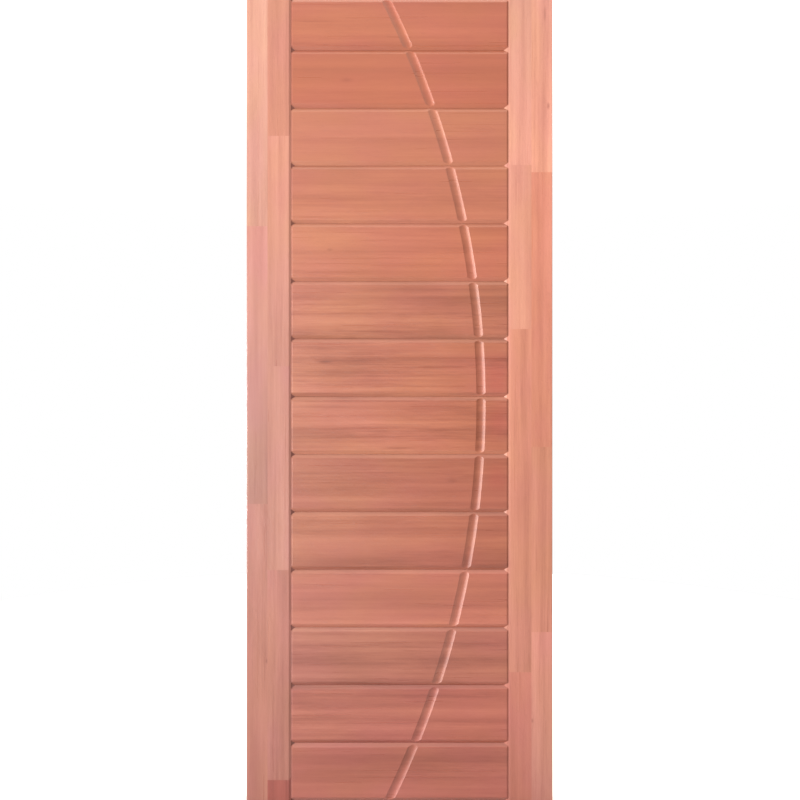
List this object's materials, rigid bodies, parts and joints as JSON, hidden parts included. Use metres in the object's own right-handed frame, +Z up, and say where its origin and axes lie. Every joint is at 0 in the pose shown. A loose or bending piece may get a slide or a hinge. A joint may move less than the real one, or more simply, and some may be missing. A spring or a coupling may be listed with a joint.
{
  "type": "door leaf",
  "caption": "Solid-wood door leaf of horizontal V-jointed boards between finger-jointed stiles, with a routed arc across the boards.",
  "frame": {"origin": "on the hinge edge, at mid-thickness, level with the bottom edge", "axes": "+X from the hinge edge to the lock edge, +Y from the front face to the back face, +Z up"},
  "size_m": [0.8, 0.035, 2.1],
  "materials": {
    "board_wood": "satin reddish solid wood with horizontal grain",
    "stile_wood": "satin pale salmon solid wood with vertical grain"
  },
  "bodies": {
    "root": {"board_01": "board_wood", "board_02": "board_wood", "board_03": "board_wood", "board_04": "board_wood", "board_05": "board_wood", "board_06": "board_wood", "board_07": "board_wood", "board_08": "board_wood", "board_09": "board_wood", "board_10": "board_wood", "board_11": "board_wood", "board_12": "board_wood", "board_13": "board_wood", "board_14": "board_wood", "left_stile_inner_block_1": "stile_wood", "left_stile_inner_block_2": "stile_wood", "left_stile_inner_block_3": "stile_wood", "left_stile_inner_block_4": "stile_wood", "left_stile_inner_block_5": "stile_wood", "left_stile_outer_block_1": "stile_wood", "left_stile_outer_block_2": "stile_wood", "left_stile_outer_block_3": "stile_wood", "right_stile_inner_block_1": "stile_wood", "right_stile_inner_block_2": "stile_wood", "right_stile_inner_block_3": "stile_wood", "right_stile_inner_block_4": "stile_wood", "right_stile_outer_block_1": "stile_wood", "right_stile_outer_block_2": "stile_wood", "right_stile_outer_block_3": "stile_wood", "right_stile_outer_block_4": "stile_wood"}
  },
  "joints": []
}
